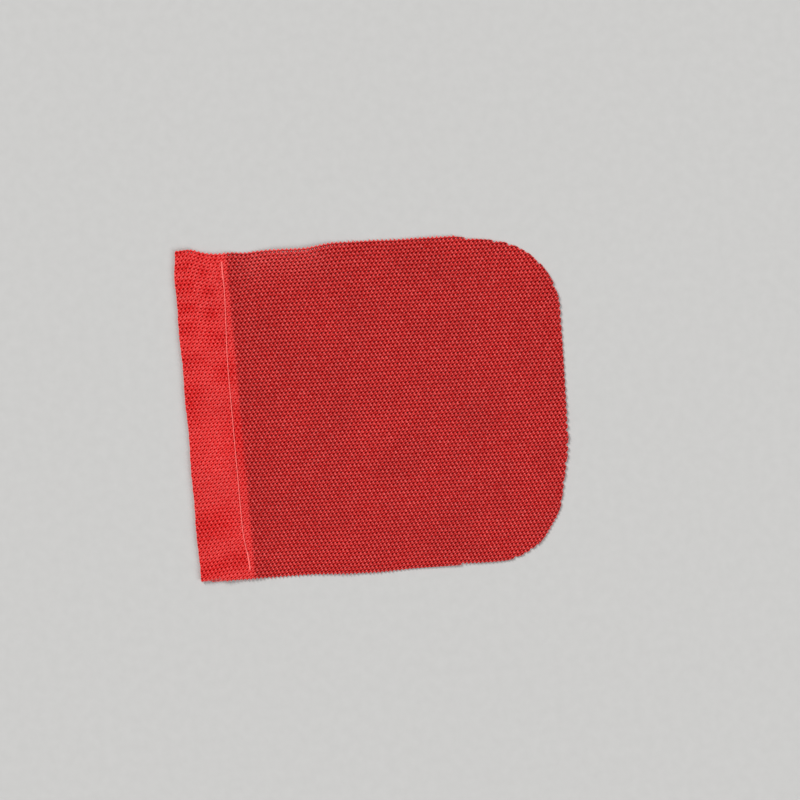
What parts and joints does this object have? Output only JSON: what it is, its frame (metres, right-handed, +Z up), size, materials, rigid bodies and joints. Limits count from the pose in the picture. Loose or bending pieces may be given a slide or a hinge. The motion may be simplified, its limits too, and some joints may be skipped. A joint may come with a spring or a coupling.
{
  "type": "climbing skin mesh sheet",
  "caption": "Flat knitted mesh sheet with a lockstitched open casing across one end and a rounded free end, soft enough to fold and roll up.",
  "frame": {"origin": "on the underside, below the middle of the casing's tunnel, halfway along the hem", "axes": "+X from the hem to the rounded end, +Y along the hem, +Z up out of the sheet's face when it lies flat"},
  "size_m": [0.2479, 0.2193, 0.007],
  "materials": {
    "mesh": "red knitted polyester net, slight filament sheen",
    "thread": "pink polyester sewing thread, satin"
  },
  "bodies": {
    "hem": {"hem_casing": "mesh", "needle_thread": "thread", "bobbin_thread": "thread"},
    "inner_zone": {"panel_inner": "mesh"},
    "middle_zone": {"panel_middle": "mesh"},
    "outer_zone": {"panel_outer": "mesh"},
    "end_zone": {"rounded_end": "mesh"}
  },
  "joints": [
    {"name": "hem_fold", "type": "hinge", "parent": "hem", "child": "inner_zone", "pos_m": [0.0265, 0, 0.0004], "axis": [0, -1, 0], "range_deg": [-155, 155], "stiffness_Nm_per_rad": 0.00002},
    {"name": "inner_fold", "type": "hinge", "parent": "inner_zone", "child": "middle_zone", "pos_m": [0.078, 0, 0.0004], "axis": [0, -1, 0], "range_deg": [-70, 70], "stiffness_Nm_per_rad": 0.00002},
    {"name": "middle_fold", "type": "hinge", "parent": "middle_zone", "child": "outer_zone", "pos_m": [0.1295, 0, 0.0004], "axis": [0, -1, 0], "range_deg": [-70, 70], "stiffness_Nm_per_rad": 0.00002},
    {"name": "outer_fold", "type": "hinge", "parent": "outer_zone", "child": "end_zone", "pos_m": [0.181, 0, 0.0004], "axis": [0, -1, 0], "range_deg": [-70, 70], "stiffness_Nm_per_rad": 0.00002}
  ]
}
